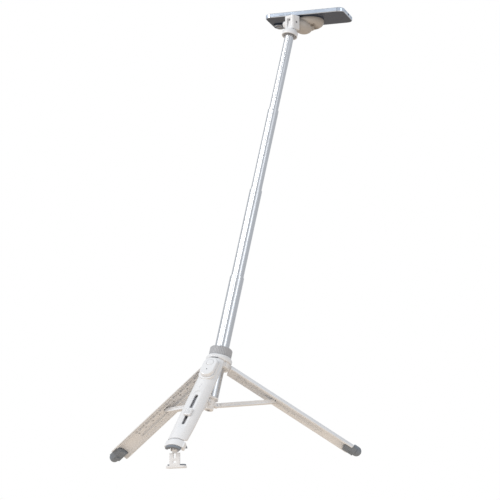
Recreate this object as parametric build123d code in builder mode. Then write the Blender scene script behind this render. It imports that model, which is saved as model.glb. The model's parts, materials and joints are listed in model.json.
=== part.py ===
from build123d import *
from math import acos, atan2, cos, degrees, radians, sin, sqrt
import os

# A telescopic phone stand clamped to the edge of a table. Millimetres, +Z up.
# Origin: the top edge of the table where the clamp leg stands. +Y points in over the table.

# Whole stand
mast_lean = 16.1            # degrees between the mast and the vertical
mast_lean_azimuth = 71.2    # direction of that lean, degrees from +X
front_leg_azimuth = -86.0   # direction in which the clamp leg opens, degrees from +X
rear_leg_turns = [122.7, 242.7]     # directions of the rear legs about the mast, from the clamp leg
front_leg_angle = 24.9      # degrees between the clamp leg and the mast
front_leg_length = 200.5
rear_leg_length = 256.0      # to the middle of the round foot
leg_pivot_radius = 16.4     # from the mast axis to each leg pin
front_foot_end = Vector(0, -10.5, 0)

# Mast tubes, outermost first
tube_radius = [12.0, 10.7, 9.4, 8.1]
tube_wall = 0.8
head_height = 660.0         # tilt pin above the leg pins, along the mast
tilt_clearance = 17.0       # from the innermost tube's upper end to the tilt pin
tube_top = [160.0, 325.0, 482.0, head_height - tilt_clearance]     # upper end of each tube above the leg pins
tube_overlap = 35.0                         # length of a tube that stays inside the next
tube_bottom = -58.0                         # lower end of the outermost tube
flute_radius = 1.6
flute_centre = 0.9                          # centre of the flute's arc outside the tube wall
flute_angle = 12.0                          # direction of the flutes about the mast
bush_length = 8.0
slide_gap = 0.12
press_gap = 0.02            # clearance of pieces that are pressed together

# Hub and lock ring
hub_radius = 22.0
hub_bottom = -5.5
hub_top = 13.5
ring_radius = 19.0
ring_height = 15.5
ring_ribs = 40
pin_radius = 1.5
pin_gap = 0.05              # running clearance of a pin in what turns on it
knuckle_radius = 3.6
knuckle_width = 12.0
pin_reach = knuckle_width / 2 + 2.0     # half the length of a leg pin
side_gap = 0.3              # between a knuckle or a bar and the cheeks beside it

# Lower hub and struts
lower_pivot_drop = 69.0     # from the leg pins down to the strut pins
lower_pivot_radius = 11.8
lower_hub_radius = 8.0
strut_length = 100.0
strut_width = 8.0
strut_depth = 6.5
strut_pin_radius = 1.2
strut_ear = 2.2

# Leg shells: arcs about the mast axis when folded
shell_radius = hub_radius
shell_wall = 2.0
shell_half_angle = 58.0
clamp_shell_start = -4.0    # upper end of the clamp leg's shell, along the leg from its pin
rear_shell_start = 4.0
shell_gap = 0.4             # between a leg shell and what stands inside it
neck_end = 11.0             # lower end of the neck that joins a leg's eye to its shell
liner_start = 24.0
rail_end = 190.0            # lower end of the channel between the rails of a rear leg
rib_pitch = 18.0
foot_ball = 8.5

# Clamp leg
slot_start, slot_end = 83.0, 152.0
slot_width = 6.0
knob_centre = 125.0
knob_length, knob_width = 16.0, 13.0
cap_start = 183.0
hook_hinge_s = 197.0        # along the clamp leg
hook_hinge_x = -8.0         # inward from the leg's line
table_thickness = 25.0
strap_width, strap_thickness = 18.4, 2.4
plate_width, plate_depth, plate_thickness = 34.5, 13.5, 3.5
plate_corner = 5.0
hook_pad_thickness = 2.5

# Head, in a level frame at the tilt pin
block_depth, block_width = 20.0, 21.0
block_top, block_bottom = 12.2, -13.0
tongue_width = 8.0
tongue_radius = 6.5
cap_radius = 14.0
cap_depth = 10.0
arm_reach = 44.0            # from the tilt pin to the middle of the puck
puck_radius = 27.0
puck_bottom, puck_top = 2.0, 14.2
pad_thickness = 0.8
phone_gap = 0.1

# Phone
phone_length, phone_width, phone_thickness = 147.0, 71.5, 7.8
phone_corner = 11.0
phone_yaw = 8.0             # direction of its long side, degrees from +X
band_wall = 2.5
back_glass = 0.7
front_glass = 0.8
bump_size = 30.0
bump_height = 1.5
lens_radius = 6.6


def direction(azimuth):
    """Level unit vector at an azimuth in degrees from +X."""
    return Vector(cos(radians(azimuth)), sin(radians(azimuth)), 0)


# Mast frame: z along the mast, x towards the clamp leg, origin midway between the leg pins.
mast_axis = direction(mast_lean_azimuth) * sin(radians(mast_lean)) + Vector(0, 0, cos(radians(mast_lean)))
front_level = direction(front_leg_azimuth)
front_radial = (front_level - mast_axis * front_level.dot(mast_axis)).normalized()
front_line = front_radial * sin(radians(front_leg_angle)) - mast_axis * cos(radians(front_leg_angle))
hub_centre = front_foot_end - front_line * front_leg_length - front_radial * leg_pivot_radius
mast = Plane(origin=hub_centre, x_dir=front_radial, z_dir=mast_axis)


def radial(turn):
    """Unit vector away from the mast, turned about it from the clamp leg."""
    return mast.x_dir * cos(radians(turn)) + mast.y_dir * sin(radians(turn))


def rear_angle(turn):
    """Opening angle that puts the round foot of a rear leg on the table."""
    out = radial(turn)
    drop = (hub_centre + out * leg_pivot_radius).Z - foot_ball
    reach = sqrt(out.Z ** 2 + mast_axis.Z ** 2)
    return degrees(atan2(out.Z, -mast_axis.Z) - acos(-drop / rear_leg_length / reach)) % 360


def leg_frame(turn, angle):
    """Frame of a leg: z along it towards the foot, x out of its back, origin on its pin."""
    out = radial(turn)
    along = out * sin(radians(angle)) - mast_axis * cos(radians(angle))
    away = out * cos(radians(angle)) + mast_axis * sin(radians(angle))
    return Plane(origin=hub_centre + out * leg_pivot_radius, x_dir=away, z_dir=along)


def strut_angle(angle):
    """Angle of a strut below its pin, so that its far end lies in the channel of its leg."""
    turn = radians(angle)
    offset = lower_pivot_radius - leg_pivot_radius
    across = leg_pivot_radius + offset * cos(turn) - lower_pivot_radius
    up = offset * sin(turn) + lower_pivot_drop
    half = across * sin(turn) - up * cos(turn)
    reach = -half + sqrt(half ** 2 - across ** 2 - up ** 2 + strut_length ** 2)
    return degrees(atan2(across + reach * sin(turn), reach * cos(turn) - up))


def strut_frame(turn, angle):
    """Frame of a strut: x along it, y out of its upper side, z along its pin."""
    out = radial(turn)
    swing = radians(strut_angle(angle))
    along = out * sin(swing) - mast_axis * cos(swing)
    pin = hub_centre + out * lower_pivot_radius - mast_axis * lower_pivot_drop
    return Plane(origin=pin, x_dir=along, z_dir=mast_axis.cross(out))


def side_view(frame):
    """Plane through a leg frame, seen from its side: x along the leg, y out of its back."""
    return Plane(origin=frame.origin, x_dir=frame.z_dir, z_dir=frame.y_dir)


def back_view(frame):
    """Plane through a leg frame, seen from its back: x along the leg, y across it."""
    return Plane(origin=frame.origin, x_dir=frame.z_dir, z_dir=frame.x_dir)


mast_line = Axis(hub_centre, mast_axis)
mast_profile = Plane(origin=hub_centre, x_dir=mast.x_dir, z_dir=mast.y_dir * -1)
turns = [0, *rear_leg_turns]
angles = [front_leg_angle, *[rear_angle(turn) for turn in rear_leg_turns]]
clamp = leg_frame(turns[0], angles[0])
tilt_centre = hub_centre + mast_axis * head_height
level = Plane(origin=tilt_centre, x_dir=direction(mast_lean_azimuth), z_dir=(0, 0, 1))
hook_hinge = clamp.from_local_coords(Vector(hook_hinge_x, 0, hook_hinge_s))

os.makedirs("parts", exist_ok=True)


def save(piece, label):
    piece.part.label = label
    export_step(piece.part, f"parts/{label}.step")


def turned(profile, points, line, mode=Mode.ADD):
    """Turn a closed outline of (radius, height) points about a line."""
    with BuildSketch(profile) as outline:
        with BuildLine():
            Polyline(*points, close=True)
        make_face()
    revolve(outline.sketch, axis=line, mode=mode)


def arc_strip(frame, inner, outer, half_angle, start, end, mode=Mode.ADD):
    """Strip of a tube wall about the mast axis of the folded stand."""
    reach = outer * 1.2
    side = reach * sin(radians(half_angle)) / cos(radians(half_angle))
    with BuildSketch(frame.offset(start)) as section:
        with Locations((-leg_pivot_radius, 0)):
            Circle(outer)
            Circle(inner, mode=Mode.SUBTRACT)
            Polygon((0, 0), (reach, -side), (reach, side), align=None, mode=Mode.INTERSECT)
    extrude(section.sketch, amount=end - start, mode=mode)


def drilled(frame, s, x, radius, half_width, mode=Mode.SUBTRACT):
    """Round hole or pin across a leg at a distance s along it and x out of its line."""
    with BuildSketch(side_view(frame)) as hole:
        with Locations((s, x)):
            Circle(radius)
    extrude(hole.sketch, amount=half_width, both=True, mode=mode)


def box_in(frame, low, high, mode=Mode.SUBTRACT):
    """Box between two corners given as (x, y, z) in a frame."""
    with BuildSketch(frame.offset(low[2])) as base:
        with Locations(((low[0] + high[0]) / 2, (low[1] + high[1]) / 2)):
            Rectangle(high[0] - low[0], high[1] - low[1])
    extrude(base.sketch, amount=high[2] - low[2], mode=mode)


# --- hub ---
neck_radius = tube_radius[0] + 1.7
collet_start = 6.0
collet_slits = 6
pin_seat = pin_radius + 0.02
mark_drop, mark_height, mark_width, mark_depth = 3.6, 1.4, 9.6, 0.8

with BuildPart() as hub_body:
    turned(mast_profile, [
        (tube_radius[0] + 0.1, hub_bottom), (hub_radius - 2, hub_bottom), (hub_radius, hub_bottom + 2.5),
        (hub_radius, hub_top - 3.5), (hub_radius - 2.2, hub_top), (neck_radius, hub_top),
        (neck_radius, collet_start), (tube_radius[0] + 0.1, collet_start)], mast_line)
    for turn in turns:
        folded = leg_frame(turn, 0)
        box_in(folded, (-4.6, -knuckle_width / 2 - side_gap, -7.0),
               (hub_radius, knuckle_width / 2 + side_gap, 20.0))
        drilled(folded, 0, 0, pin_seat, pin_reach + 0.1)
    # room for the leg shells: the clamp leg's reaches up over its pin, so its room follows the swing
    recess = shell_radius - shell_wall - shell_gap
    recess_outer, recess_half_angle, recess_end = shell_radius + 6, 60, 20
    for angle in (0, front_leg_angle / 2, front_leg_angle):
        arc_strip(leg_frame(0, angle), recess, recess_outer, recess_half_angle,
                  clamp_shell_start - shell_gap, recess_end, mode=Mode.SUBTRACT)
    for turn, angle in zip(turns[1:], angles[1:]):
        rise = ((shell_radius - leg_pivot_radius) * sin(radians(angle))
                - rear_shell_start * cos(radians(angle)))
        arc_strip(leg_frame(turn, 0), recess, recess_outer, recess_half_angle,
                  -rise - shell_gap, recess_end, mode=Mode.SUBTRACT)
    # the slot mark on the front, above the clamp leg
    box_in(leg_frame(0, 0), (hub_radius - leg_pivot_radius - mark_depth, -mark_width / 2, mark_drop - hub_top),
           (hub_radius, mark_width / 2, mark_drop + mark_height - hub_top))
save(hub_body, "hub_body")

with BuildPart() as leg_pins:
    for turn in turns:
        drilled(leg_frame(turn, 0), 0, 0, pin_radius, pin_reach, mode=Mode.ADD)
save(leg_pins, "leg_pins")

with BuildPart() as mast_collet:
    collet_top = hub_top + ring_height - 2.5
    turned(mast_profile, [
        (tube_radius[0] + 0.03, collet_start + 0.2), (neck_radius - 0.05, collet_start + 0.2),
        (neck_radius - 0.05, collet_top), (tube_radius[0] + 0.03, collet_top)], mast_line)
    with BuildSketch(mast.offset(hub_top - 2)):
        with PolarLocations(neck_radius - 1, collet_slits):
            Rectangle(6, 1.2)
    extrude(amount=ring_height + 2, mode=Mode.SUBTRACT)
save(mast_collet, "mast_collet")

with BuildPart() as lock_ring:
    ring_start = hub_top + 0.3
    turned(mast_profile, [
        (neck_radius + 0.3, ring_start), (ring_radius - 0.8, ring_start), (ring_radius, ring_start + 0.8),
        (ring_radius, ring_start + ring_height - 1.6), (ring_radius - 1.6, ring_start + ring_height),
        (tube_radius[0] + 0.35, ring_start + ring_height), (tube_radius[0] + 0.35, ring_start + ring_height - 2),
        (neck_radius + 0.3, ring_start + ring_height - 2)], mast_line)
    with BuildSketch(mast.offset(ring_start + 1)):
        with PolarLocations(ring_radius + 0.35, ring_ribs):
            Circle(0.95)
    extrude(amount=ring_height - 2.4, mode=Mode.SUBTRACT)
save(lock_ring, "lock_ring")


# --- telescopic mast ---
def tube_outline(tube_outside, inset):
    """Round outline with the two flutes of a mast tube, drawn in by inset from the tube's outside."""
    Circle(tube_outside - inset)
    with PolarLocations(tube_outside + flute_centre, 2, start_angle=flute_angle):
        Circle(flute_radius + inset, mode=Mode.SUBTRACT)


for number, radius in enumerate(tube_radius):
    top = tube_top[number]
    bottom = tube_top[number - 1] - tube_overlap if number else tube_bottom
    with BuildPart() as tube:
        with BuildSketch(mast.offset(bottom)):
            tube_outline(radius, 0)
        extrude(amount=top - bottom)
        with BuildSketch(mast.offset(bottom)):
            tube_outline(radius, tube_wall)
        extrude(amount=top - bottom, mode=Mode.SUBTRACT)
    save(tube, f"tube_{number + 1}")
    if number == 0:
        continue
    with BuildPart() as bush:
        with BuildSketch(mast.offset(bottom - bush_length)):
            tube_outline(tube_radius[number - 1], tube_wall + slide_gap)
        extrude(amount=bush_length)
        with BuildSketch(mast.offset(bottom)):
            tube_outline(radius, tube_wall + press_gap)
        extrude(amount=bush_length)
        with BuildSketch(mast.offset(bottom - bush_length)):
            Circle(radius - 4)
        extrude(amount=2 * bush_length, mode=Mode.SUBTRACT)
    save(bush, f"tube_{number + 1}_bush")

# --- lower hub, under the outermost tube ---
lower_hub_end = -lower_pivot_drop - 11
ear_inner = strut_width / 2 - 1 + side_gap
plug_radius = tube_radius[0] - tube_wall - 1.6

with BuildPart() as lower_hub:
    turned(mast_profile, [
        (0, lower_hub_end + 1.5), (3, lower_hub_end + 1.5), (3, lower_hub_end),
        (lower_hub_radius - 1, lower_hub_end), (lower_hub_radius, lower_hub_end + 1),
        (lower_hub_radius, tube_bottom - 3), (tube_radius[0] + 0.6, tube_bottom - 3),
        (tube_radius[0] + 0.6, tube_bottom), (plug_radius, tube_bottom),
        (plug_radius, tube_bottom + 10), (0, tube_bottom + 10)], mast_line)
    for turn in turns:
        pin = leg_frame(turn, 0)
        for side in (-1, 1):
            with BuildSketch(side_view(pin).offset(side * (ear_inner + strut_ear / 2))):
                with Locations((lower_pivot_drop, lower_pivot_radius - leg_pivot_radius)):
                    Circle(strut_depth / 2 + 0.2)
                with Locations((lower_pivot_drop, lower_hub_radius - leg_pivot_radius + 0.9)):
                    Rectangle(strut_depth + 0.4, 2 * (lower_pivot_radius - lower_hub_radius - 0.9))
            extrude(amount=strut_ear / 2, both=True)
        drilled(pin, lower_pivot_drop, lower_pivot_radius - leg_pivot_radius,
                strut_pin_radius + 0.02, ear_inner + strut_ear + 1)
save(lower_hub, "lower_hub")

with BuildPart() as strut_pins:
    for turn in turns:
        drilled(leg_frame(turn, 0), lower_pivot_drop, lower_pivot_radius - leg_pivot_radius,
                strut_pin_radius, ear_inner + strut_ear, mode=Mode.ADD)
save(strut_pins, "strut_pins")

with BuildPart() as lower_hub_screw:
    head_level = mast.offset(lower_hub_end - 1)
    with BuildSketch(head_level):
        Circle(2.9)
    extrude(amount=2.5)
    with BuildSketch(head_level):
        RegularPolygon(1.4, 6)
    extrude(amount=1.6, mode=Mode.SUBTRACT)
save(lower_hub_screw, "lower_hub_screw")


# --- struts ---
fork_gap = 4.4
roller_radius = 3.0

for turn, angle, name in zip(turns, angles, ["front", "right", "left"]):
    frame = strut_frame(turn, angle)
    with BuildPart() as strut:
        with BuildSketch(frame):
            with Locations((strut_length / 2, 0)):
                SlotCenterToCenter(strut_length, strut_depth)
        extrude(amount=strut_width / 2, both=True)
        for side in (-1, 1):
            # the inner end is thinner, to stand between the ears of the lower hub
            box_in(frame, (-10, -10, side * (strut_width / 2 - 0.5) - 0.5),
                   (7, 10, side * (strut_width / 2 - 0.5) + 0.5))
            # the long grooves that lighten both sides
            with BuildSketch(frame.offset(side * (strut_width / 2 - 0.35))):
                with Locations((strut_length / 2, 0)):
                    SlotOverall(strut_length - 28, strut_depth - 3.4)
            extrude(amount=0.35, both=True, mode=Mode.SUBTRACT)
        box_in(frame, (strut_length - 5, -10, -fork_gap / 2), (strut_length + 10, 10, fork_gap / 2))
        with BuildSketch(frame):
            Circle(strut_pin_radius + pin_gap)
            with Locations((strut_length, 0)):
                Circle(strut_pin_radius + 0.02)
        extrude(amount=strut_width, both=True, mode=Mode.SUBTRACT)
    save(strut, f"{name}_strut")
    with BuildPart() as roller:
        with BuildSketch(frame):
            with Locations((strut_length, 0)):
                Circle(roller_radius)
        extrude(amount=fork_gap / 2 - 0.1, both=True)
        with BuildSketch(frame):
            with Locations((strut_length, 0)):
                Circle(strut_pin_radius)
        extrude(amount=strut_width / 2, both=True)
    save(roller, f"{name}_strut_roller")


# --- rear legs ---
def knuckle(frame):
    """Eye on the leg pin and the neck that joins it to the shell."""
    top = 4.3
    with BuildSketch(side_view(frame)) as eye:
        Circle(knuckle_radius)
        Polygon((0, -knuckle_radius), (6, -knuckle_radius), (neck_end, 1.0),
                (neck_end, top), (4, top), (0, knuckle_radius), align=None)
    extrude(eye.sketch, amount=knuckle_width / 2, both=True)
    drilled(frame, 0, 0, pin_radius + pin_gap, knuckle_width)


boot_start = rear_leg_length - 22
rear_shell_end = rear_leg_length - 9
shell_corner = 12.0
rail_half, rail_wall = 6.0, 1.5
liner_outer = shell_radius - shell_wall - shell_gap
liner_inner = liner_outer - 1.4
rail_lip = -4.2
rib_reach = 15.0

for turn, angle, name in zip(turns[1:], angles[1:], ["right", "left"]):
    frame = leg_frame(turn, angle)
    with BuildPart() as shell:
        arc_strip(frame, shell_radius - shell_wall, shell_radius, shell_half_angle,
                  rear_shell_start, rear_shell_end)
        with BuildSketch(back_view(frame)):
            with Locations(((rear_shell_start + rear_shell_end) / 2, 0)):
                RectangleRounded(rear_shell_end - rear_shell_start, 2 * shell_radius, shell_corner)
        extrude(amount=shell_radius, both=True, mode=Mode.INTERSECT)
        knuckle(frame)
    save(shell, f"{name}_leg_shell")

    with BuildPart() as rail:
        arc_strip(frame, liner_inner, liner_outer, shell_half_angle - 4, liner_start, boot_start - 2)
        for side in (-1, 1):
            middle = side * (rail_half + rail_wall / 2)
            box_in(frame, (rail_lip, middle - rail_wall / 2, liner_start + 2),
                   (2.0, middle + rail_wall / 2, rail_end), mode=Mode.ADD)
        rib_count = int((boot_start - 40) / rib_pitch)
        for index in range(rib_count):
            rib = 36 + index * rib_pitch
            for side in (-1, 1):
                low, high = sorted((side * (rail_half + rail_wall / 2), side * rib_reach))
                box_in(frame, (rail_lip if rib < rail_end else 0.0, low, rib), (1.0, high, rib + 1.4),
                       mode=Mode.ADD)
        with BuildSketch(frame):
            with Locations((-leg_pivot_radius, 0)):
                Circle(liner_outer)
        extrude(amount=rear_leg_length, mode=Mode.INTERSECT)
        with BuildSketch(back_view(frame)):
            with Locations([(45 + index * rib_pitch, 0) for index in range(rib_count - 1)]):
                Circle(2.1)
        extrude(amount=shell_radius, both=True, mode=Mode.SUBTRACT)
    save(rail, f"{name}_leg_rail")

    with BuildPart() as foot:
        arc_strip(frame, leg_pivot_radius - 6, shell_radius - shell_wall - 0.1, 40, boot_start, rear_leg_length - 2)
        with BuildSketch(side_view(frame)):
            with BuildLine():
                CenterArc((rear_leg_length, 0), foot_ball, 0, 90)
                Polyline((rear_leg_length, foot_ball), (rear_leg_length, 0),
                         (rear_leg_length + foot_ball, 0))
            make_face()
        revolve(axis=Axis(frame.origin, frame.z_dir))
        with BuildSketch(frame.offset(rear_leg_length - 8)):
            Circle(foot_ball)
        extrude(amount=8)
    save(foot, f"{name}_foot")

# --- clamp leg ---
leg_mid = (slot_start + slot_end) / 2
widest = leg_mid - 25
recess_floor = 4.5
tray_start, tray_end, tray_width = -1.0, 47.0, 27.0
remote_length, remote_width, remote_thickness = 42.0, 25.0, 6.0
remote_start = 1.5
remote_floor = 6.4          # underside of the remote, out of the leg's line
slot_gap = 0.2
start_half_width, shell_half_width, end_half_width = 15.5, 17.6, 16.0
clamp_back = back_view(clamp)

with BuildPart() as clamp_leg_shell:
    arc_strip(clamp, shell_radius - shell_wall, shell_radius, shell_half_angle,
              clamp_shell_start - 1, cap_start + 1)
    # seat for the remote
    with BuildSketch(clamp_back):
        with Locations(((tray_start + tray_end) / 2, 0)):
            RectangleRounded(tray_end - tray_start, tray_width, 11)
    extrude(amount=remote_floor - 0.1)
    with BuildSketch(clamp):
        with Locations((-leg_pivot_radius, 0)):
            Circle(shell_radius - shell_wall)
    extrude(amount=cap_start, both=True, mode=Mode.SUBTRACT)
    # the shell is widest half way down, with round shoulders
    with BuildSketch(clamp_back):
        with BuildLine():
            Line((clamp_shell_start, -start_half_width), (clamp_shell_start, start_half_width))
            ThreePointArc((clamp_shell_start, start_half_width), (widest, shell_half_width),
                          (cap_start, end_half_width))
            Line((cap_start, end_half_width), (cap_start, -end_half_width))
            ThreePointArc((cap_start, -end_half_width), (widest, -shell_half_width),
                          (clamp_shell_start, -start_half_width))
        make_face()
        fillet(vertices().group_by(Axis(clamp.origin, clamp.z_dir))[0], 6)
    extrude(amount=shell_radius, both=True, mode=Mode.INTERSECT)
    knuckle(clamp)
    # recess and slot of the lock slider
    with BuildSketch(clamp_back.offset(recess_floor)):
        with Locations((leg_mid, 0)):
            SlotOverall(slot_end - slot_start + 16, 13.6)
    extrude(amount=shell_radius, mode=Mode.SUBTRACT)
    with BuildSketch(clamp_back):
        with Locations((leg_mid, 0)):
            SlotOverall(slot_end - slot_start, slot_width)
    extrude(amount=shell_radius, mode=Mode.SUBTRACT)
    # two plain marks above the slot, open and closed
    with BuildSketch(clamp_back.offset(shell_radius - leg_pivot_radius - 0.5)):
        with Locations((60, 0)):
            Circle(1.3)
        with Locations((66.5, 0)):
            RectangleRounded(4.6, 3.4, 1.0)
    extrude(amount=2, mode=Mode.SUBTRACT)
save(clamp_leg_shell, "clamp_leg_shell")

with BuildPart() as clamp_leg_liner:
    arc_strip(clamp, liner_inner, liner_outer, 38, liner_start, cap_start + 2.2)
    with BuildSketch(clamp_back):
        with Locations((leg_mid, 0)):
            SlotOverall(slot_end - slot_start, slot_width)
    extrude(amount=shell_radius, mode=Mode.SUBTRACT)
save(clamp_leg_liner, "clamp_leg_liner")

# foot cap, with the passage of the hook carriage open on its inner side
flange_inner, flange_outer = 4.8, 6.2
passage = flange_outer + 0.4
heel_inner, heel_outer = strap_width / 2 + 3.2, 16.6
cap_end = 197.5
hook_back = -13.5

with BuildPart() as clamp_foot_cap:
    arc_strip(clamp, 16.4, shell_radius - 0.2, 46, cap_start + 2.2, cap_end)
    for side in (-1, 1):
        low, high = sorted((side * heel_inner, side * heel_outer))
        box_in(clamp, (-8.0, low, 186.0), (0.0, high, cap_end), mode=Mode.ADD)
    box_in(clamp, (-shell_radius, -passage, cap_start), (0.8, passage, cap_end + 5))
save(clamp_foot_cap, "clamp_foot_cap")

with BuildPart() as clamp_foot_nose:
    arc_strip(clamp, 16.0, shell_radius - 1.2, 43, cap_end, front_leg_length + 1.5)
    box_in(clamp, (-shell_radius, -passage, cap_end - 5), (0.8, passage, front_leg_length + 5))
save(clamp_foot_nose, "clamp_foot_nose")

with BuildPart() as heel_pads:
    for side in (-1, 1):
        low, high = sorted((side * heel_inner, side * heel_outer))
        box_in(clamp, (hook_back, low, 185.8), (-8.0, high, 195.5), mode=Mode.ADD)
    split(bisect_by=Plane.XY, keep=Keep.TOP)
save(heel_pads, "heel_pads")

# --- remote ---
remote_view = clamp_back.offset(remote_floor)
remote_middle = remote_start + remote_length / 2
button_place = remote_start + 13.0
button_radius = 6.2
light_place = remote_start + 29.0

with BuildPart() as remote_case:
    with BuildSketch(remote_view):
        with Locations((remote_middle, 0)):
            SlotOverall(remote_length, remote_width)
    extrude(amount=remote_thickness)
    fillet(faces().sort_by(Axis(clamp.origin, clamp.x_dir))[-1].edges(), 2.6)
    with BuildSketch(remote_view.offset(1.2)):
        with Locations((remote_middle, 0)):
            SlotOverall(remote_length - 3, remote_width - 3)
    extrude(amount=remote_thickness - 2.6, mode=Mode.SUBTRACT)
    with BuildSketch(remote_view.offset(2)):
        with Locations((button_place, 0)):
            Circle(button_radius + 0.3)
        with Locations((light_place, 0)):
            Circle(1.0)
    extrude(amount=remote_thickness, mode=Mode.SUBTRACT)
save(remote_case, "remote_case")

with BuildPart() as remote_button:
    with BuildSketch(remote_view.offset(remote_thickness - 2.2)):
        with Locations((button_place, 0)):
            Circle(button_radius)
    extrude(amount=2.6)
    fillet(faces().sort_by(Axis(clamp.origin, clamp.x_dir))[-1].edges(), 0.8)
save(remote_button, "remote_button")

with BuildPart() as remote_cell:
    with BuildSketch(remote_view.offset(1.3)):
        with Locations((light_place - 4, 0)):
            Circle(8)
    extrude(amount=1.6)
save(remote_cell, "remote_cell")

with BuildPart() as remote_light:
    with BuildSketch(remote_view.offset(remote_thickness - 1.8)):
        with Locations((light_place, 0)):
            Circle(0.95)
    extrude(amount=1.9)
save(remote_light, "remote_light")

# --- lock slider and the carriage of the hook ---
carriage_back, carriage_face = -1.0, 0.4
carriage_start = slot_start - 20

with BuildPart() as hook_carriage:
    box_in(clamp, (carriage_back, -flange_outer, carriage_start), (carriage_face, flange_outer, hook_hinge_s),
           mode=Mode.ADD)
    for side in (-1, 1):
        inner, outer = side * flange_inner, side * flange_outer
        with BuildSketch(side_view(clamp).offset((inner + outer) / 2)):
            Polygon((hook_hinge_s - 26, carriage_face), (hook_hinge_s, carriage_face),
                    (hook_hinge_s + 2.9, hook_hinge_x), (hook_hinge_s - 2.9, hook_hinge_x - 1.0),
                    (hook_hinge_s - 14, carriage_back - 1.5), align=None)
            with Locations((hook_hinge_s, hook_hinge_x)):
                Circle(2.9)
        extrude(amount=(flange_outer - flange_inner) / 2, both=True)
    box_in(clamp, (carriage_back - 0.5, -flange_inner, hook_hinge_s - 9),
           (carriage_face + 0.5, flange_inner, hook_hinge_s + 5))
    drilled(clamp, hook_hinge_s, hook_hinge_x, strut_pin_radius + 0.02, 10)
save(hook_carriage, "hook_carriage")

with BuildPart() as lock_slider:
    knob_floor = recess_floor + 0.25
    with BuildSketch(clamp_back.offset(knob_floor)):
        with Locations((knob_centre, 0)):
            RectangleRounded(knob_length, knob_width, 3)
    extrude(amount=3.6)
    fillet(faces().sort_by(Axis(clamp.origin, clamp.x_dir))[-1].edges(), 1.2)
    with BuildSketch(clamp_back.offset(carriage_face)):
        with Locations((knob_centre, 0)):
            RectangleRounded(10, slot_width - 2 * slot_gap, 1)
    extrude(amount=knob_floor - carriage_face)
    with BuildSketch(clamp_back.offset(knob_floor + 3.0)):
        with GridLocations(2.6, 0, 4, 1):
            with Locations((knob_centre, 0)):
                Rectangle(1.0, knob_width)
    extrude(amount=3, mode=Mode.SUBTRACT)
save(lock_slider, "lock_slider")

# --- hook, hanging plumb from the carriage ---
plate_top = -table_thickness - hook_pad_thickness
strap_face = Plane(origin=(hook_hinge.X, hook_hinge.Y, 0), x_dir=(1, 0, 0), z_dir=(0, -1, 0))

with BuildPart() as hook_strap:
    with BuildSketch(strap_face):
        with Locations((0, (hook_hinge.Z - 5.0 + plate_top) / 2)):
            Rectangle(strap_width, hook_hinge.Z - 5.0 - plate_top)
    extrude(amount=strap_thickness / 2, both=True)
    with BuildSketch(side_view(clamp)):
        with Locations((hook_hinge_s, hook_hinge_x)):
            Circle(2.7)
    extrude(amount=flange_inner - 0.4, both=True)
    with BuildSketch(strap_face):
        with Locations((0, hook_hinge.Z - 3.5)):
            Rectangle(2 * flange_inner - 1.6, 5.0)
    extrude(amount=strap_thickness / 2, both=True)
    with BuildSketch(Plane.XY.offset(plate_top)):
        with Locations((hook_hinge.X, hook_hinge.Y - strap_thickness / 2 + plate_depth / 2)):
            RectangleRounded(plate_width, plate_depth, plate_corner)
    extrude(amount=-plate_thickness)
    with BuildSketch(strap_face):
        with Locations((0, hook_hinge.Z - 9.5)):
            SlotOverall(8.5, 4.2, rotation=90)
        with Locations((0, plate_top + 6)):
            SlotOverall(6.5, 3.8)
    extrude(amount=10, both=True, mode=Mode.SUBTRACT)
    drilled(clamp, hook_hinge_s, hook_hinge_x, strut_pin_radius + pin_gap, 10)
save(hook_strap, "hook_strap")

with BuildPart() as hook_pad:
    with BuildSketch(Plane.XY.offset(plate_top)):
        with Locations((hook_hinge.X, hook_hinge.Y + strap_thickness / 2 + (plate_depth - strap_thickness) / 2)):
            RectangleRounded(plate_width - 4, plate_depth - strap_thickness - 2, 2)
    extrude(amount=hook_pad_thickness)
save(hook_pad, "hook_pad")

with BuildPart() as hook_pin:
    drilled(clamp, hook_hinge_s, hook_hinge_x, strut_pin_radius, flange_outer, mode=Mode.ADD)
save(hook_pin, "hook_pin")

# --- head ---
cap_line = Axis(tilt_centre, mast_axis)
cap_profile = Plane(origin=tilt_centre, x_dir=mast.x_dir, z_dir=mast.y_dir * -1)
tongue_frame = Plane(origin=tilt_centre, x_dir=level.y_dir.cross(mast_axis), z_dir=level.y_dir * -1)
tube_end = -tilt_clearance
bolt_radius = 2.0
cap_bore = tube_radius[-1] + 0.06

with BuildPart() as head_cap:
    turned(cap_profile, [
        (cap_bore, tube_end - 3.5), (cap_radius - 1.6, tube_end - 3.5), (cap_radius - 1.6, tube_end - cap_depth),
        (cap_radius, tube_end - cap_depth), (cap_radius, tube_end - 3), (cap_radius - 2, tube_end + 0.2),
        (0, tube_end + 0.8), (0, tube_end + 0.1), (cap_bore, tube_end + 0.1)], cap_line)
    with BuildSketch(tongue_frame):
        Circle(tongue_radius)
        with Locations((0, tube_end / 2 + 0.2)):
            Rectangle(2 * tongue_radius - 1, -tube_end - 0.4)
    extrude(amount=tongue_width / 2, both=True)
    with BuildSketch(tongue_frame):
        Circle(bolt_radius + pin_gap)
    extrude(amount=tongue_width, both=True, mode=Mode.SUBTRACT)
save(head_cap, "head_cap")

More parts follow.
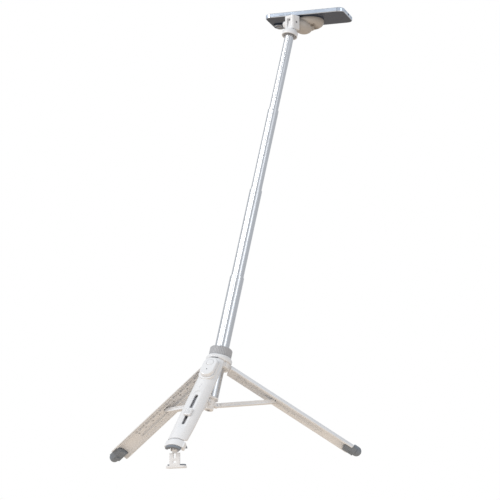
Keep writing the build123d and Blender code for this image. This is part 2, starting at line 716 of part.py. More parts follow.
with BuildPart() as head_block:
    with BuildSketch(level.offset(block_bottom)):
        RectangleRounded(block_depth, block_width, 4)
    extrude(amount=block_top - block_bottom)
    fillet(faces().sort_by(Axis.Z)[0].edges(), 1.5)
    clear = tongue_radius + 0.4
    slot_side = tongue_width / 2 + side_gap
    box_in(level, (-block_depth, -slot_side, block_bottom - 5), (clear, slot_side, 0))
    box_in(level, (-block_depth, -slot_side, -1), (0, slot_side, clear))
    with BuildSketch(Plane(origin=tilt_centre, x_dir=level.x_dir, z_dir=level.y_dir * -1)):
        Circle(clear)
    extrude(amount=slot_side, both=True, mode=Mode.SUBTRACT)
    with BuildSketch(tongue_frame):
        Circle(bolt_radius + 0.02)
    extrude(amount=block_width, both=True, mode=Mode.SUBTRACT)
save(head_block, "head_block")

knob_start = block_width / 2 + 0.3
knob_depth = 7.0
bolt_line = Plane(origin=tilt_centre, x_dir=level.x_dir, z_dir=level.y_dir)
with BuildPart() as tilt_bolt:
    with BuildSketch(bolt_line.offset(-block_width / 2)):
        Circle(bolt_radius)
    extrude(amount=block_width / 2 + knob_start + 4)
save(tilt_bolt, "tilt_bolt")

with BuildPart() as tilt_knob:
    with BuildSketch(bolt_line.offset(knob_start)):
        Circle(7)
    extrude(amount=knob_depth)
    fillet(edges().filter_by(GeomType.CIRCLE), 1.0)
    with BuildSketch(bolt_line.offset(knob_start)):
        with PolarLocations(7.5, 14):
            Circle(0.9)
        Circle(bolt_radius + pin_gap)
    extrude(amount=knob_depth - 2.5, mode=Mode.SUBTRACT)
save(tilt_knob, "tilt_knob")

# --- magnetic puck on its arm ---
puck_middle = level.from_local_coords(Vector(arm_reach, 0, 0))
puck_line = Axis(puck_middle, (0, 0, 1))
puck = Plane(origin=puck_middle, x_dir=direction(phone_yaw), z_dir=(0, 0, 1))
puck_profile = Plane(origin=puck_middle, x_dir=(1, 0, 0), z_dir=(0, -1, 0))
arm_top, arm_bottom = 1.8, -2.4
spigot_radius = 5.0
magnet_inner, magnet_outer = 17.5, 23.5

with BuildPart() as puck_arm:
    with BuildSketch(level.offset(arm_bottom)):
        Polygon((block_depth / 2, -7.5), (arm_reach, -9.5), (arm_reach, 9.5), (block_depth / 2, 7.5), align=None)
        with Locations((arm_reach, 0)):
            Circle(9.5)
    extrude(amount=arm_top - arm_bottom)
    with BuildSketch(level.offset(arm_bottom)):
        with Locations((block_depth / 2 + 1.5, 0)):
            Rectangle(3, 15)
    extrude(amount=6)
    with BuildSketch(puck.offset(arm_top)):
        Circle(spigot_radius)
    extrude(amount=7)
save(puck_arm, "puck_arm")

with BuildPart() as puck_shell:
    with BuildSketch(puck_profile):
        with BuildLine():
            Polyline((spigot_radius + pin_gap, puck_bottom), (puck_radius - 10, puck_bottom))
            ThreePointArc((puck_radius - 10, puck_bottom), (puck_radius - 2.6, puck_bottom + 3.4),
                          (puck_radius, puck_top - 2.5))
            Polyline((puck_radius, puck_top - 2.5), (puck_radius, puck_top),
                     (magnet_outer + 0.1, puck_top), (magnet_outer + 0.1, puck_top - 3.1),
                     (magnet_inner - 0.1, puck_top - 3.1), (magnet_inner - 0.1, puck_top),
                     (spigot_radius + pin_gap, puck_top), (spigot_radius + pin_gap, puck_bottom))
        make_face()
    revolve(axis=puck_line)
    # long hollow in the underside, with a light rib standing on each side of it
    with BuildSketch(puck.offset(puck_bottom)):
        for side in (-1, 1):
            with Locations((side * 10.5, 0)):
                RectangleRounded(9, 2 * puck_radius - 20, 2)
    extrude(amount=3.2, mode=Mode.SUBTRACT)
save(puck_shell, "puck_shell")

with BuildPart() as puck_magnets:
    with BuildSketch(puck.offset(puck_top - 3.0)):
        with PolarLocations((magnet_inner + magnet_outer) / 2, 16):
            Rectangle(magnet_outer - magnet_inner - 0.6, 7.0)
    extrude(amount=2.9)
save(puck_magnets, "puck_magnets")

with BuildPart() as puck_pad:
    with BuildSketch(puck.offset(puck_top)):
        Circle(puck_radius - 0.6)
    extrude(amount=pad_thickness)
save(puck_pad, "puck_pad")

# --- phone, screen up, its long side towards the block ---
phone = puck.offset(puck_top + pad_thickness + phone_gap)
half_length, half_width = phone_length / 2, phone_width / 2
core_bottom, core_top = back_glass, phone_thickness - front_glass
button_level = phone_thickness / 2
volume_places = [-41.0, -28.0]
power_place = -34.0


def phone_outline(shrink):
    """Rounded outline of the phone, drawn in by shrink."""
    RectangleRounded(phone_length - 2 * shrink, phone_width - 2 * shrink, phone_corner - shrink)


def side_slot(x, y, length, depth, mode, height=2.4):
    """Rounded bar in the band, with its long side along the phone."""
    outward = 1 if y > 0 else -1
    view = Plane(origin=phone.from_local_coords(Vector(x, y, button_level)),
                 x_dir=phone.x_dir, z_dir=phone.y_dir * outward)
    with BuildSketch(view) as bar:
        SlotOverall(length, height)
    extrude(bar.sketch, amount=depth, mode=mode)


button_travel = 0.35
with BuildPart() as phone_band:
    with BuildSketch(phone):
        phone_outline(0)
    extrude(amount=phone_thickness)
    fillet(edges().filter_by(Axis.Z, reverse=True), 1.6)
    with BuildSketch(phone):
        phone_outline(0.9)
    extrude(amount=core_bottom, mode=Mode.SUBTRACT)
    with BuildSketch(phone.offset(core_top)):
        phone_outline(0.9)
    extrude(amount=front_glass, mode=Mode.SUBTRACT)
    with BuildSketch(phone.offset(core_bottom)):
        phone_outline(band_wall)
    extrude(amount=core_top - core_bottom, mode=Mode.SUBTRACT)
    for x in volume_places:
        side_slot(x, -half_width + band_wall + 0.1, 9.6, band_wall + 1, Mode.SUBTRACT, 2.8)
    side_slot(power_place, half_width - band_wall - 0.1, 14.6, band_wall + 1, Mode.SUBTRACT, 2.8)
    # charging port and speaker holes in the right end
    right_end = Plane(origin=phone.from_local_coords(Vector(half_length - 3, 0, button_level)),
                      x_dir=phone.y_dir, z_dir=phone.x_dir)
    with BuildSketch(right_end):
        SlotOverall(9, 3)
        with Locations((-19, 0), (19, 0)):
            with GridLocations(2.6, 0, 5, 1):
                Circle(0.8)
    extrude(amount=4, mode=Mode.SUBTRACT)
save(phone_band, "phone_band")

with BuildPart() as phone_back:
    with BuildSketch(phone):
        phone_outline(0.95)
    extrude(amount=core_bottom)
save(phone_back, "phone_back")

with BuildPart() as phone_screen:
    with BuildSketch(phone.offset(core_top)):
        phone_outline(0.95)
    extrude(amount=front_glass)
save(phone_screen, "phone_screen")

with BuildPart() as phone_battery:
    with BuildSketch(phone.offset(core_bottom + 0.6)):
        with Locations((10, 0)):
            RectangleRounded(92, phone_width - 16, 3)
    extrude(amount=core_top - core_bottom - 1.2)
save(phone_battery, "phone_battery")

bump_x, bump_y = -half_length + 4 + bump_size / 2, half_width - 4 - bump_size / 2
lens_places = [(bump_x - 7, bump_y + 7), (bump_x - 7, bump_y - 7), (bump_x + 7, bump_y)]

with BuildPart() as camera_plate:
    with BuildSketch(phone):
        with Locations((bump_x, bump_y)):
            RectangleRounded(bump_size, bump_size, 7.5)
    extrude(amount=-bump_height)
save(camera_plate, "camera_plate")

with BuildPart() as lens_rings:
    with BuildSketch(phone.offset(-bump_height)):
        with Locations(lens_places):
            Circle(lens_radius)
            Circle(lens_radius - 1.1, mode=Mode.SUBTRACT)
    extrude(amount=-0.9)
save(lens_rings, "lens_rings")

with BuildPart() as lens_glasses:
    with BuildSketch(phone.offset(-bump_height)):
        with Locations(lens_places):
            Circle(lens_radius - 1.15)
    extrude(amount=-0.6)
save(lens_glasses, "lens_glasses")

with BuildPart() as flash_window:
    with BuildSketch(phone.offset(-bump_height)):
        with Locations((bump_x + 9, bump_y + 10)):
            Circle(2.3)
    extrude(amount=-0.3)
save(flash_window, "flash_window")

with BuildPart() as power_button:
    side_slot(power_place, half_width - 1.2, 14.0, 1.2 + button_travel + 0.1, Mode.ADD, 2.2)
save(power_button, "power_button")

for x, label in zip(volume_places, ["volume_up", "volume_down"]):
    with BuildPart() as volume_button:
        side_slot(x, -half_width + 1.2, 9.0, 1.2 + button_travel + 0.1, Mode.ADD, 2.2)
    save(volume_button, label)
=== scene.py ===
import json
import math

import bpy
from mathutils import Matrix, Vector


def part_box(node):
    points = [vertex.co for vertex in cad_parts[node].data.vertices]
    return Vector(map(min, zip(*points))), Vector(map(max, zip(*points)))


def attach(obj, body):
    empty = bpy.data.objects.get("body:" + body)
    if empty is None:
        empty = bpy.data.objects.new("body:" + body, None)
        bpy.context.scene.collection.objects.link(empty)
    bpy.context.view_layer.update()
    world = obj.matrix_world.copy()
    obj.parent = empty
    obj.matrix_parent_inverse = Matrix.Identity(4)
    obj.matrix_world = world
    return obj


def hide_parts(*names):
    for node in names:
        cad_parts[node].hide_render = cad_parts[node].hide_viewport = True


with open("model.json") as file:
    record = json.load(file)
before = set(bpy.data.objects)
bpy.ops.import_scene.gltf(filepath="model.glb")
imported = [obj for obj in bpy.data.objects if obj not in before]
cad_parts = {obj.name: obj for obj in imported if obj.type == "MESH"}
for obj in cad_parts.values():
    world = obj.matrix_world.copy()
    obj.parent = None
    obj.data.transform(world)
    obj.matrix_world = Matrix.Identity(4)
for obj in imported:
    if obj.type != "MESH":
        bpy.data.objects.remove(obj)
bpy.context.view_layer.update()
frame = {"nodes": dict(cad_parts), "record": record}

nodes = frame["nodes"]
record = frame["record"]
joints = {joint["name"]: joint for joint in record["behaviour"]["joints"]}
bodyOfNode = {node: body for body, members in record["behaviour"]["bodies"].items() for node in members}
slotOfNode = {part["node"]: part["material_slot"] for part in record["subparts"]}

# directions and places of the stand, read from its joints
mastAxis = Vector(joints["pan_turn"]["axis"]).normalized()
panPlace = Vector(joints["pan_turn"]["pos_m"])
tiltPlace = Vector(joints["tilt_swing"]["pos_m"])
puckPlace = Vector(joints["puck_turn"]["pos_m"])
legAxis = Vector(joints["lock_slide"]["axis"]).normalized()
legSide = Vector(joints["clamp_leg_open"]["axis"]).normalized()
phoneAcross = -Vector(joints["power_press"]["axis"]).normalized()
upward = Vector((0, 0, 1))
phoneAlong = phoneAcross.cross(upward).normalized()


# small helpers

def metres(millimetres):
    return millimetres / 1000


def deselectAll():
    if bpy.context.object and bpy.context.object.mode != "OBJECT":
        bpy.ops.object.mode_set(mode="OBJECT")
    bpy.ops.object.select_all(action="DESELECT")


def makeActive(obj):
    deselectAll()
    obj.select_set(True)
    bpy.context.view_layer.objects.active = obj


def applyModifier(obj, kind, **settings):
    makeActive(obj)
    modifier = obj.modifiers.new(kind.lower(), kind)
    for key, value in settings.items():
        setattr(modifier, key, value)
    bpy.ops.object.modifier_apply(modifier=modifier.name)


def smoothByAngle(obj, degrees=40):
    makeActive(obj)
    bpy.ops.object.shade_smooth_by_angle(angle=math.radians(degrees))


def settle(obj):
    # puts the object's place and turn into its mesh
    makeActive(obj)
    bpy.ops.object.transform_apply(location=True, rotation=True, scale=True)


def axesMatrix(along, across):
    # matrix with z on the first direction and x close to the second
    z = along.normalized()
    y = z.cross(across).normalized()
    x = y.cross(z)
    return Matrix((x, y, z)).transposed().to_4x4()


# shader node groups

def startGroup(name, inputs, outputs):
    group = bpy.data.node_groups.new(name, "ShaderNodeTree")
    for label, kind, value in inputs:
        socket = group.interface.new_socket(name=label, in_out="INPUT", socket_type=kind)
        if value is not None:
            socket.default_value = value
    for label, kind in outputs:
        group.interface.new_socket(name=label, in_out="OUTPUT", socket_type=kind)
    start = group.nodes.new("NodeGroupInput")
    end = group.nodes.new("NodeGroupOutput")
    return group, start, end


def addNoise(tree, vector, scale, detail, roughness=0.5):
    noise = tree.nodes.new("ShaderNodeTexNoise")
    noise.inputs["Detail"].default_value = detail
    noise.inputs["Roughness"].default_value = roughness
    tree.links.new(vector, noise.inputs["Vector"])
    if isinstance(scale, (int, float)):
        noise.inputs["Scale"].default_value = scale
    else:
        tree.links.new(scale, noise.inputs["Scale"])
    return noise.outputs["Fac"]


def addMath(tree, operation, first, second):
    node = tree.nodes.new("ShaderNodeMath")
    node.operation = operation
    for value, socket in zip((first, second), node.inputs):
        if isinstance(value, (int, float)):
            socket.default_value = value
        else:
            tree.links.new(value, socket)
    return node.outputs[0]


def addRange(tree, value, fromLow, fromHigh, toLow, toHigh):
    node = tree.nodes.new("ShaderNodeMapRange")
    sockets = ["From Min", "From Max", "To Min", "To Max"]
    for name, amount in zip(sockets, (fromLow, fromHigh, toLow, toHigh)):
        if isinstance(amount, (int, float)):
            node.inputs[name].default_value = amount
        else:
            tree.links.new(amount, node.inputs[name])
    tree.links.new(value, node.inputs["Value"])
    return node.outputs["Result"]


def addMix(tree, factor, first, second, blend="MIX"):
    node = tree.nodes.new("ShaderNodeMix")
    node.data_type = "RGBA"
    node.blend_type = blend
    for value, socket in zip((factor, first, second), (node.inputs[0], node.inputs[6], node.inputs[7])):
        if isinstance(value, (int, float, tuple)):
            socket.default_value = value
        else:
            tree.links.new(value, socket)
    return node.outputs[2]


def addBump(tree, height, strength, distance):
    node = tree.nodes.new("ShaderNodeBump")
    node.inputs["Distance"].default_value = distance
    tree.links.new(strength, node.inputs["Strength"])
    tree.links.new(height, node.inputs["Height"])
    return node.outputs["Normal"]


# each pattern as scale, detail and roughness of its noise
mouldedPattern = dict(clouds=(28, 4, 0.6), marks=(320, 3, 0.7), grainDetail=2, cloudRange=(0.35, 0.75),
                      markRange=(0.3, 0.7), bumpDistance=0.0002)
brushedPattern = dict(smears=(24, 3, 0.6), streakDetail=3, streakRoughness=0.65, stretch=0.012,
                      streakRange=(0.3, 0.7), spreadRange=(0.7, 1.3), bumpDistance=0.0001)


def makeMouldedGroup():
    # moulded plastic and rubber: fine spark-eroded grain, faint cloudiness, small handling marks
    group, start, end = startGroup(
        "mouldedSurface",
        [("Vector", "NodeSocketVector", None), ("Color", "NodeSocketColor", (0.8, 0.8, 0.8, 1)),
         ("Shade", "NodeSocketColor", (0.6, 0.6, 0.6, 1)), ("Cloud", "NodeSocketFloat", 0.2),
         ("Grain Scale", "NodeSocketFloat", 1800), ("Grain Depth", "NodeSocketFloat", 0.2),
         ("Roughness", "NodeSocketFloat", 0.4), ("Roughness Spread", "NodeSocketFloat", 0.08)],
        [("Color", "NodeSocketColor"), ("Roughness", "NodeSocketFloat"), ("Normal", "NodeSocketVector")])
    vector = start.outputs["Vector"]
    clouds = addNoise(group, vector, *mouldedPattern["clouds"])
    marks = addNoise(group, vector, *mouldedPattern["marks"])
    grain = addNoise(group, vector, start.outputs["Grain Scale"], mouldedPattern["grainDetail"])
    amount = addRange(group, clouds, *mouldedPattern["cloudRange"], 0, start.outputs["Cloud"])
    color = addMix(group, amount, start.outputs["Color"], start.outputs["Shade"])
    uneven = addRange(group, marks, *mouldedPattern["markRange"], -1, 1)
    spread = addMath(group, "MULTIPLY", uneven, start.outputs["Roughness Spread"])
    group.links.new(color, end.inputs["Color"])
    group.links.new(addMath(group, "ADD", start.outputs["Roughness"], spread), end.inputs["Roughness"])
    normal = addBump(group, grain, start.outputs["Grain Depth"], mouldedPattern["bumpDistance"])
    group.links.new(normal, end.inputs["Normal"])
    return group


def makeBrushedGroup():
    # drawn or brushed metal: streaks along local z of the vector given
    group, start, end = startGroup(
        "brushedSurface",
        [("Vector", "NodeSocketVector", None), ("Color", "NodeSocketColor", (0.8, 0.8, 0.8, 1)),
         ("Streak Color", "NodeSocketColor", (0.6, 0.6, 0.6, 1)), ("Streak", "NodeSocketFloat", 0.4),
         ("Streak Scale", "NodeSocketFloat", 900), ("Depth", "NodeSocketFloat", 0.2),
         ("Roughness", "NodeSocketFloat", 0.3), ("Roughness Spread", "NodeSocketFloat", 0.1)],
        [("Color", "NodeSocketColor"), ("Roughness", "NodeSocketFloat"), ("Normal", "NodeSocketVector")])
    stretch = group.nodes.new("ShaderNodeMapping")
    stretch.inputs["Scale"].default_value = (1, 1, brushedPattern["stretch"])
    group.links.new(start.outputs["Vector"], stretch.inputs["Vector"])
    streaks = addNoise(group, stretch.outputs["Vector"], start.outputs["Streak Scale"],
                       brushedPattern["streakDetail"], brushedPattern["streakRoughness"])
    smears = addNoise(group, start.outputs["Vector"], *brushedPattern["smears"])
    visible = addRange(group, streaks, *brushedPattern["streakRange"], 0, 1)
    amount = addMath(group, "MULTIPLY", visible, start.outputs["Streak"])
    color = addMix(group, amount, start.outputs["Color"], start.outputs["Streak Color"])
    both = addMath(group, "ADD", streaks, smears)
    uneven = addRange(group, both, *brushedPattern["spreadRange"], -1, 1)
    spread = addMath(group, "MULTIPLY", uneven, start.outputs["Roughness Spread"])
    group.links.new(color, end.inputs["Color"])
    group.links.new(addMath(group, "ADD", start.outputs["Roughness"], spread), end.inputs["Roughness"])
    normal = addBump(group, streaks, start.outputs["Depth"], brushedPattern["bumpDistance"])
    group.links.new(normal, end.inputs["Normal"])
    return group


mouldedGroup = makeMouldedGroup()
brushedGroup = makeBrushedGroup()
print("shader groups ready")


# materials, one finish for each slot of the record

finishes = {
    "white": dict(kind="moulded", color=(0.83, 0.84, 0.86), shade=(0.75, 0.76, 0.785), cloud=0.35,
                  grainScale=700, grainDepth=0.03, roughness=0.38, spread=0.06, coat=0.15),
    # painted shade: white plastic darkened and warmed to stand for the phone's shadow on the holder
    "holder_white_painted_shade": dict(kind="moulded", color=(0.50, 0.465, 0.43), shade=(0.42, 0.39, 0.36), cloud=0.35,
                         grainScale=700, grainDepth=0.03, roughness=0.42, spread=0.06, coat=0.1),
    "gloss_white": dict(kind="moulded", color=(0.84, 0.85, 0.87), shade=(0.76, 0.77, 0.79), cloud=0.25,
                        grainScale=900, grainDepth=0.03, roughness=0.16, spread=0.05, coat=0.5),
    "ring_grey": dict(kind="moulded", color=(0.47, 0.48, 0.505), shade=(0.36, 0.37, 0.395), cloud=0.4,
                      grainScale=700, grainDepth=0.08, roughness=0.45, spread=0.08, coat=0.0),
    "dark": dict(kind="moulded", color=(0.035, 0.036, 0.04), shade=(0.02, 0.02, 0.022), cloud=0.4,
                 grainScale=2200, grainDepth=0.25, roughness=0.55, spread=0.08, coat=0.0),
    "rubber": dict(kind="moulded", color=(0.24, 0.27, 0.31), shade=(0.16, 0.18, 0.21), cloud=0.5,
                   grainScale=1700, grainDepth=0.45, roughness=0.72, spread=0.1, coat=0.0),
    "anodised": dict(kind="brushed", color=(0.74, 0.755, 0.78), streakColor=(0.58, 0.60, 0.63), streak=0.45,
                     streakScale=1500, depth=0.12, roughness=0.3, spread=0.07, coat=0.0, axis="mast"),
    "steel": dict(kind="brushed", color=(0.58, 0.58, 0.60), streakColor=(0.42, 0.42, 0.44), streak=0.5,
                  streakScale=1800, depth=0.2, roughness=0.3, spread=0.1, coat=0.0, axis="leg"),
    "blue_metal": dict(kind="brushed", color=(0.72, 0.80, 0.92), streakColor=(0.60, 0.68, 0.80), streak=0.35,
                       streakScale=2500, depth=0.06, roughness=0.24, spread=0.05, coat=0.2, axis="phone"),
    "blue_glass": dict(kind="moulded", color=(0.014, 0.026, 0.056), shade=(0.020, 0.036, 0.072), cloud=0.5,
                       grainScale=700, grainDepth=0.02, roughness=0.30, spread=0.04, coat=0.0),
    "black_gloss": dict(kind="moulded", color=(0.006, 0.006, 0.008), shade=(0.012, 0.012, 0.014), cloud=0.5,
                        grainScale=600, grainDepth=0.01, roughness=0.07, spread=0.03, coat=0.8),
    "lens_glass": dict(kind="moulded", color=(0.01, 0.012, 0.03), shade=(0.03, 0.01, 0.05), cloud=0.9,
                       grainScale=500, grainDepth=0.01, roughness=0.05, spread=0.02, coat=1.0),
}
coatRoughness = 0.08
grainAxes = {
    "mast": axesMatrix(mastAxis, legSide),
    "leg": axesMatrix(legAxis, legSide),
    "phone": axesMatrix(phoneAlong, phoneAcross),
}


def withAlpha(color):
    return (*color, 1)


def makeMaterial(name, finish):
    material = bpy.data.materials.new(name)
    material.use_nodes = True
    tree = material.node_tree
    shader = tree.nodes["Principled BSDF"]
    place = tree.nodes.new("ShaderNodeTexCoord")
    pattern = tree.nodes.new("ShaderNodeGroup")
    vector = place.outputs["Object"]
    if finish["kind"] == "moulded":
        pattern.node_tree = mouldedGroup
        pattern.inputs["Shade"].default_value = withAlpha(finish["shade"])
        pattern.inputs["Cloud"].default_value = finish["cloud"]
        pattern.inputs["Grain Scale"].default_value = finish["grainScale"]
        pattern.inputs["Grain Depth"].default_value = finish["grainDepth"]
        shader.inputs["Metallic"].default_value = 0
    else:
        # turns the pattern so that its streaks run along the piece
        turn = tree.nodes.new("ShaderNodeMapping")
        turn.inputs["Rotation"].default_value = grainAxes[finish["axis"]].inverted().to_euler()
        tree.links.new(vector, turn.inputs["Vector"])
        vector = turn.outputs["Vector"]
        pattern.node_tree = brushedGroup
        pattern.inputs["Streak Color"].default_value = withAlpha(finish["streakColor"])
        pattern.inputs["Streak"].default_value = finish["streak"]
        pattern.inputs["Streak Scale"].default_value = finish["streakScale"]
        pattern.inputs["Depth"].default_value = finish["depth"]
        shader.inputs["Metallic"].default_value = 1
    pattern.inputs["Color"].default_value = withAlpha(finish["color"])
    pattern.inputs["Roughness"].default_value = finish["roughness"]
    pattern.inputs["Roughness Spread"].default_value = finish["spread"]
    shader.inputs["Coat Weight"].default_value = finish["coat"]
    shader.inputs["Coat Roughness"].default_value = coatRoughness
    tree.links.new(vector, pattern.inputs["Vector"])
    tree.links.new(pattern.outputs["Color"], shader.inputs["Base Color"])
    tree.links.new(pattern.outputs["Roughness"], shader.inputs["Roughness"])
    tree.links.new(pattern.outputs["Normal"], shader.inputs["Normal"])
    return material


materials = {name: makeMaterial(name, finish) for name, finish in finishes.items()}


# the magnetic holder's shell and arm get a greyer, warmer white: painted shade standing for the phone's
# shadow over them
finishOfNode = dict(slotOfNode, puck_shell="holder_white_painted_shade", puck_arm="holder_white_painted_shade")


def dress(obj, material):
    obj.data.materials.clear()
    obj.data.materials.append(material)


for name, node in nodes.items():
    for place in node.material_slots:
        place.material = materials[finishOfNode[name]]
print("materials on", len(nodes), "pieces")


# moulded pieces with rounded edges, in place of the sharp ones: the radius of each in millimetres

roundedEdges = {
    "hub_body": 0.7, "lower_hub": 0.4, "clamp_leg_shell": 0.7, "clamp_foot_cap": 0.5, "clamp_foot_nose": 0.4,
    "heel_pads": 0.4, "lock_slider": 0.4, "hook_strap": 0.4, "hook_pad": 0.4, "right_leg_shell": 0.5,
    "left_leg_shell": 0.5, "right_leg_rail": 0.25, "left_leg_rail": 0.25, "front_strut": 0.5,
    "right_strut": 0.5, "left_strut": 0.5, "right_foot": 0.4, "left_foot": 0.4, "head_cap": 0.5,
    "head_block": 0.5, "puck_arm": 0.5, "puck_shell": 0.4, "lock_ring": 0.15, "camera_plate": 0.4,
}

rounding = dict(merge=0.000002, flatAngle=1, sharpAngle=35, segments=3)


def roundPiece(name, width):
    piece = bpy.data.objects.new("rounded_" + name, nodes[name].data.copy())
    bpy.context.collection.objects.link(piece)
    makeActive(piece)
    bpy.ops.object.mode_set(mode="EDIT")
    bpy.ops.mesh.select_all(action="SELECT")
    bpy.ops.mesh.remove_doubles(threshold=rounding["merge"])
    bpy.ops.mesh.dissolve_limited(angle_limit=math.radians(rounding["flatAngle"]))
    bpy.ops.object.mode_set(mode="OBJECT")
    applyModifier(piece, "BEVEL", width=metres(width), segments=rounding["segments"], limit_method="ANGLE",
                  angle_limit=math.radians(rounding["sharpAngle"]), use_clamp_overlap=True,
                  miter_outer="MITER_ARC")
    smoothByAngle(piece)
    dress(piece, materials[finishOfNode[name]])
    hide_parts(name)
    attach(piece, bodyOfNode[name])


for name, width in roundedEdges.items():
    roundPiece(name, width)
print("rounded", len(roundedEdges), "pieces")


# scoop under the arm, and lines in the phone's band, in millimetres

# places are measured from the tilt pin, x along the arm; the slope runs from cutHigh down to cutLow
scoop = dict(middle=(28, 0, 0), size=(20, 15, 14.0), cutHigh=(10, 10.6), cutLow=(43, -6.0), start=9.5,
             wall=2.2, round=0.5, sharpAngle=50, segments=64, rings=40)


def makeScoop():
    # a round bowl, sliced off along a slope that falls from the block towards the tip
    deselectAll()
    bpy.ops.mesh.primitive_uv_sphere_add(segments=scoop["segments"], ring_count=scoop["rings"], radius=1,
                                         location=(0, 0, 0))
    bowl = bpy.context.object
    bowl.name = "armScoop"
    bowl.scale = [metres(size) for size in scoop["size"]]
    bowl.location = [metres(place) for place in scoop["middle"]]
    settle(bowl)
    high, low = scoop["cutHigh"], scoop["cutLow"]
    fall = (high[1] - low[1]) / (low[0] - high[0])
    bpy.ops.object.mode_set(mode="EDIT")
    bpy.ops.mesh.select_all(action="SELECT")
    bpy.ops.mesh.bisect(plane_co=(metres(high[0]), 0, metres(high[1])), plane_no=(fall, 0, 1),
                        clear_outer=True)
    bpy.ops.mesh.select_all(action="SELECT")
    bpy.ops.mesh.bisect(plane_co=(metres(scoop["start"]), 0, 0), plane_no=(-1, 0, 0), clear_outer=True)
    bpy.ops.object.mode_set(mode="OBJECT")
    applyModifier(bowl, "SOLIDIFY", thickness=metres(scoop["wall"]), offset=-1, use_even_offset=True)
    applyModifier(bowl, "BEVEL", width=metres(scoop["round"]), segments=rounding["segments"],
                  limit_method="ANGLE", angle_limit=math.radians(scoop["sharpAngle"]))
    # x of the bowl lies along the arm, y along the tilt pin
    along = (puckPlace - tiltPlace).normalized()
    across = upward.cross(along)
    turn = Matrix((along, across, upward)).transposed().to_4x4()
    bowl.matrix_world = Matrix.Translation(tiltPlace) @ turn
    settle(bowl)
    smoothByAngle(bowl)
    # the scoop takes the holder's painted-shade white, a darker white standing for the phone's shadow
    dress(bowl, materials["holder_white_painted_shade"])
    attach(bowl, "tilt_head")


bandLines = dict(along=(-62, 62), phoneWidth=71.5, width=0.9, height=7.0, proud=0.05, depth=0.6, round=0.2)


def makeBandLines():
    # dark plastic breaks across both long sides of the band
    low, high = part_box("phone_band")
    middle = (Vector(low) + Vector(high)) / 2
    halfWidth = metres(bandLines["phoneWidth"]) / 2
    bars = []
    for side in (-1, 1):
        for place in bandLines["along"]:
            deselectAll()
            bpy.ops.mesh.primitive_cube_add(size=1, location=(0, 0, 0))
            bar = bpy.context.object
            bar.scale = [metres(bandLines[size]) for size in ("width", "depth", "height")]
            settle(bar)
            applyModifier(bar, "BEVEL", width=metres(bandLines["round"]), segments=2, limit_method="NONE")
            reach = halfWidth + metres(bandLines["proud"] - bandLines["depth"] / 2)
            turn = Matrix((phoneAlong, phoneAcross, upward)).transposed().to_4x4()
            spot = middle + phoneAlong * metres(place) + phoneAcross * side * reach
            bar.matrix_world = Matrix.Translation(spot) @ turn
            settle(bar)
            bars.append(bar)
    deselectAll()
    for bar in bars:
        bar.select_set(True)
    bpy.context.view_layer.objects.active = bars[0]
    bpy.ops.object.join()
    bars[0].name = "bandLines"
    dress(bars[0], materials["dark"])
    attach(bars[0], "phone")


makeScoop()
makeBandLines()
print("scoop and band lines ready")


# floor, light and camera, in metres and watts

studio = dict(floorDrop=0.75, floorSize=90, floorColor=(0.78, 0.67, 0.56), floorRoughness=0.7, floorGrain=60,
              skyLight=0.64, skyColor=(0.93, 0.96, 1))
softboxes = {
    "keyLight": dict(place=(-1.4, -1.6, 1.9), aim=(0, 0.2, 0.35), size=(1.4, 1.4), power=41,
                     color=(1, 0.99, 0.97)),
    "fillLight": dict(place=(2.4, -0.6, 0.9), aim=(0.1, 0.2, 0.3), size=(0.8, 1.6), power=7,
                      color=(0.95, 0.97, 1)),
    "warmBounce": dict(place=(0.4, -0.2, -0.7), aim=(0.05, 0.15, 0.2), size=(1.6, 1.6), power=4.5,
                       color=(1, 0.80, 0.58)),
}


def makeFloor():
    bpy.ops.mesh.primitive_plane_add(size=studio["floorSize"], location=(0, 0, -studio["floorDrop"]))
    floor = bpy.context.object
    floor.name = "floor"
    floorFinish = dict(finishes["white"], color=studio["floorColor"], shade=studio["floorColor"],
                       roughness=studio["floorRoughness"], coat=0.0, grainScale=studio["floorGrain"])
    dress(floor, makeMaterial("floorPaint", floorFinish))
    settle(floor)


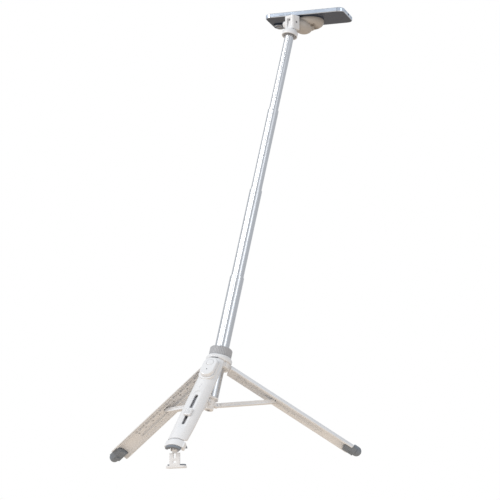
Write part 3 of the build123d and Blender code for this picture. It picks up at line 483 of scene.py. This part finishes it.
def makeSky():
    # the camera sees plain white, and the dimmer sky lights the stand
    world = bpy.data.worlds.new("studioSky")
    bpy.context.scene.world = world
    world.use_nodes = True
    tree = world.node_tree
    tree.nodes.clear()
    seen = tree.nodes.new("ShaderNodeBackground")
    seen.inputs["Color"].default_value = withAlpha((1, 1, 1))
    seen.inputs["Strength"].default_value = 1.0
    lit = tree.nodes.new("ShaderNodeBackground")
    lit.inputs["Color"].default_value = withAlpha(studio["skyColor"])
    lit.inputs["Strength"].default_value = studio["skyLight"]
    path = tree.nodes.new("ShaderNodeLightPath")
    mix = tree.nodes.new("ShaderNodeMixShader")
    out = tree.nodes.new("ShaderNodeOutputWorld")
    tree.links.new(path.outputs["Is Camera Ray"], mix.inputs[0])
    tree.links.new(lit.outputs[0], mix.inputs[1])
    tree.links.new(seen.outputs[0], mix.inputs[2])
    tree.links.new(mix.outputs[0], out.inputs["Surface"])


def addSoftbox(name, place, aim, size, power, color):
    # a square or oblong lamp that looks at its aim
    light = bpy.data.lights.new(name, "AREA")
    light.shape = "RECTANGLE"
    light.size, light.size_y = size
    light.energy = power
    light.color = color
    lamp = bpy.data.objects.new(name, light)
    bpy.context.collection.objects.link(lamp)
    lamp.location = place
    lamp.rotation_mode = "QUATERNION"
    lamp.rotation_quaternion = (Vector(aim) - Vector(place)).to_track_quat("-Z", "Y")


# the camera stands below the hub, which is one mast length under the pan joint
cameraPlace = dict(lens=144, sensor=36, mastLength=0.660, fromHub=(1.4995, -2.9510, -0.4405),
                   azimuth=116.015, pitch=10.88, clipStart=0.05, clipEnd=60)


def makeCamera():
    data = bpy.data.cameras.new("camera")
    data.lens = cameraPlace["lens"]
    data.sensor_width = cameraPlace["sensor"]
    camera = bpy.data.objects.new("camera", data)
    bpy.context.collection.objects.link(camera)
    hub = panPlace - mastAxis * cameraPlace["mastLength"]
    camera.location = hub + Vector(cameraPlace["fromHub"])
    azimuth, pitch = math.radians(cameraPlace["azimuth"]), math.radians(cameraPlace["pitch"])
    look = Vector((math.cos(azimuth) * math.cos(pitch), math.sin(azimuth) * math.cos(pitch), math.sin(pitch)))
    camera.rotation_mode = "QUATERNION"
    camera.rotation_quaternion = look.to_track_quat("-Z", "Y")
    data.clip_start = cameraPlace["clipStart"]
    data.clip_end = cameraPlace["clipEnd"]
    bpy.context.scene.camera = camera


makeFloor()
makeSky()
for name, settings in softboxes.items():
    addSoftbox(name, **settings)
makeCamera()
bpy.context.scene.view_settings.view_transform = "Standard"
print("studio ready")
